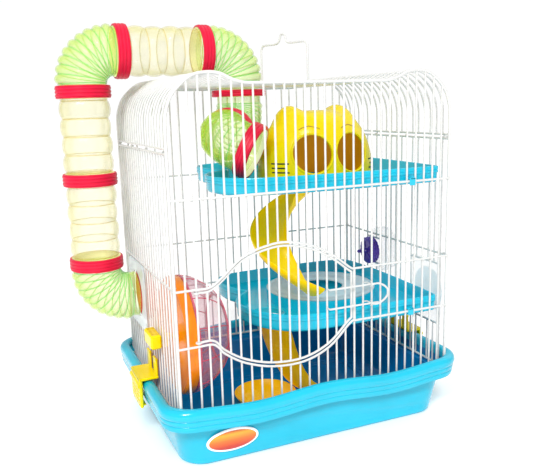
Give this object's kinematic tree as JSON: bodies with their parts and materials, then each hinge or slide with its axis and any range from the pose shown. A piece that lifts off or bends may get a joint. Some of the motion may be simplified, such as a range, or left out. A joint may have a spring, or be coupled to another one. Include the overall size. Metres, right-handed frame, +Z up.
{
  "type": "hamster cage",
  "caption": "Two-storey wire hamster cage on a blue tray, with an outside tube run, slides, a cat-face house, an exercise wheel and a hinged front door.",
  "frame": {"origin": "centre of the tray's underside, on the surface the cage stands on", "axes": "+Z up, -Y towards the front door, +X to the right seen from the front; the outside tube column is on the -X side"},
  "size_m": [0.3845, 0.234, 0.4147],
  "materials": {
    "blue": "gloss",
    "yellow": "gloss",
    "green_clear": "gloss",
    "pale_clear": "gloss",
    "white_clear": "gloss",
    "purple": "gloss",
    "orange": "gloss",
    "pink_clear": "gloss",
    "label": "gloss",
    "white_wire": "gloss",
    "crimson": "satin"
  },
  "bodies": {
    "cage": {"back_panel": "white_wire", "badge": "label", "blank_port_cover": "white_clear", "blank_port_plate": "white_clear", "bottle_body": "white_clear", "bottle_cap": "purple", "cat_house": "yellow", "elbow_corner": "green_clear", "elbow_drop": "green_clear", "elbow_foot": "green_clear", "elbow_mouth": "green_clear", "elbow_roof": "green_clear", "food_dish": "yellow", "front_panel": "white_wire", "left_panel_back": "white_wire", "left_panel_front": "white_wire", "left_panel_high": "white_wire", "left_panel_low": "white_wire", "lower_slide": "yellow", "mid_shelf": "blue", "right_panel": "white_wire", "ring_corner": "crimson", "ring_drop": "crimson", "ring_foot": "crimson", "ring_head": "crimson", "ring_mid": "crimson", "ring_mouth": "crimson", "ring_roof_port": "crimson", "ring_run": "crimson", "ring_side_port": "crimson", "roof_shell": "white_wire", "shelf_insert": "white_clear", "side_port_plate": "white_clear", "tray": "blue", "tube_lower": "pale_clear", "tube_run": "pale_clear", "tube_upper": "pale_clear", "upper_shelf": "blue", "upper_slide": "yellow", "wheel_clip": "yellow"},
    "door": {"front_door": "white_wire"},
    "catch": {"door_catch": "white_wire"},
    "wheel": {"wheel_drum": "orange", "wheel_dome": "pink_clear"},
    "left_clip": {"left_latch": "yellow"},
    "right_clip": {"right_latch": "yellow"},
    "handle": {"carry_handle": "white_wire"}
  },
  "joints": [
    {"name": "door_hinge", "type": "hinge", "parent": "cage", "child": "door", "pos_m": [-0.125, -0.103, 0.146], "axis": [0, 0, -1], "range_deg": [0, 115]},
    {"name": "catch_slide", "type": "slide", "parent": "door", "child": "catch", "axis": [1, 0, 0], "range_m": [-0.0032, 0]},
    {"name": "wheel_spin", "type": "hinge", "parent": "cage", "child": "wheel", "pos_m": [-0.11, -0.036, 0.1105], "axis": [1, 0, 0], "continuous": true},
    {"name": "left_clip_hinge", "type": "hinge", "parent": "cage", "child": "left_clip", "pos_m": [-0.1664, -0.013, 0.0388], "axis": [0, -1, 0], "range_deg": [0, 70]},
    {"name": "right_clip_hinge", "type": "hinge", "parent": "cage", "child": "right_clip", "pos_m": [0.1664, -0.013, 0.0388], "axis": [0, 1, 0], "range_deg": [0, 70]},
    {"name": "handle_fold", "type": "hinge", "parent": "cage", "child": "handle", "pos_m": [0.005, -0.016, 0.3522], "axis": [0.3489, -0.9371, 0], "range_deg": [-80, 80]}
  ]
}
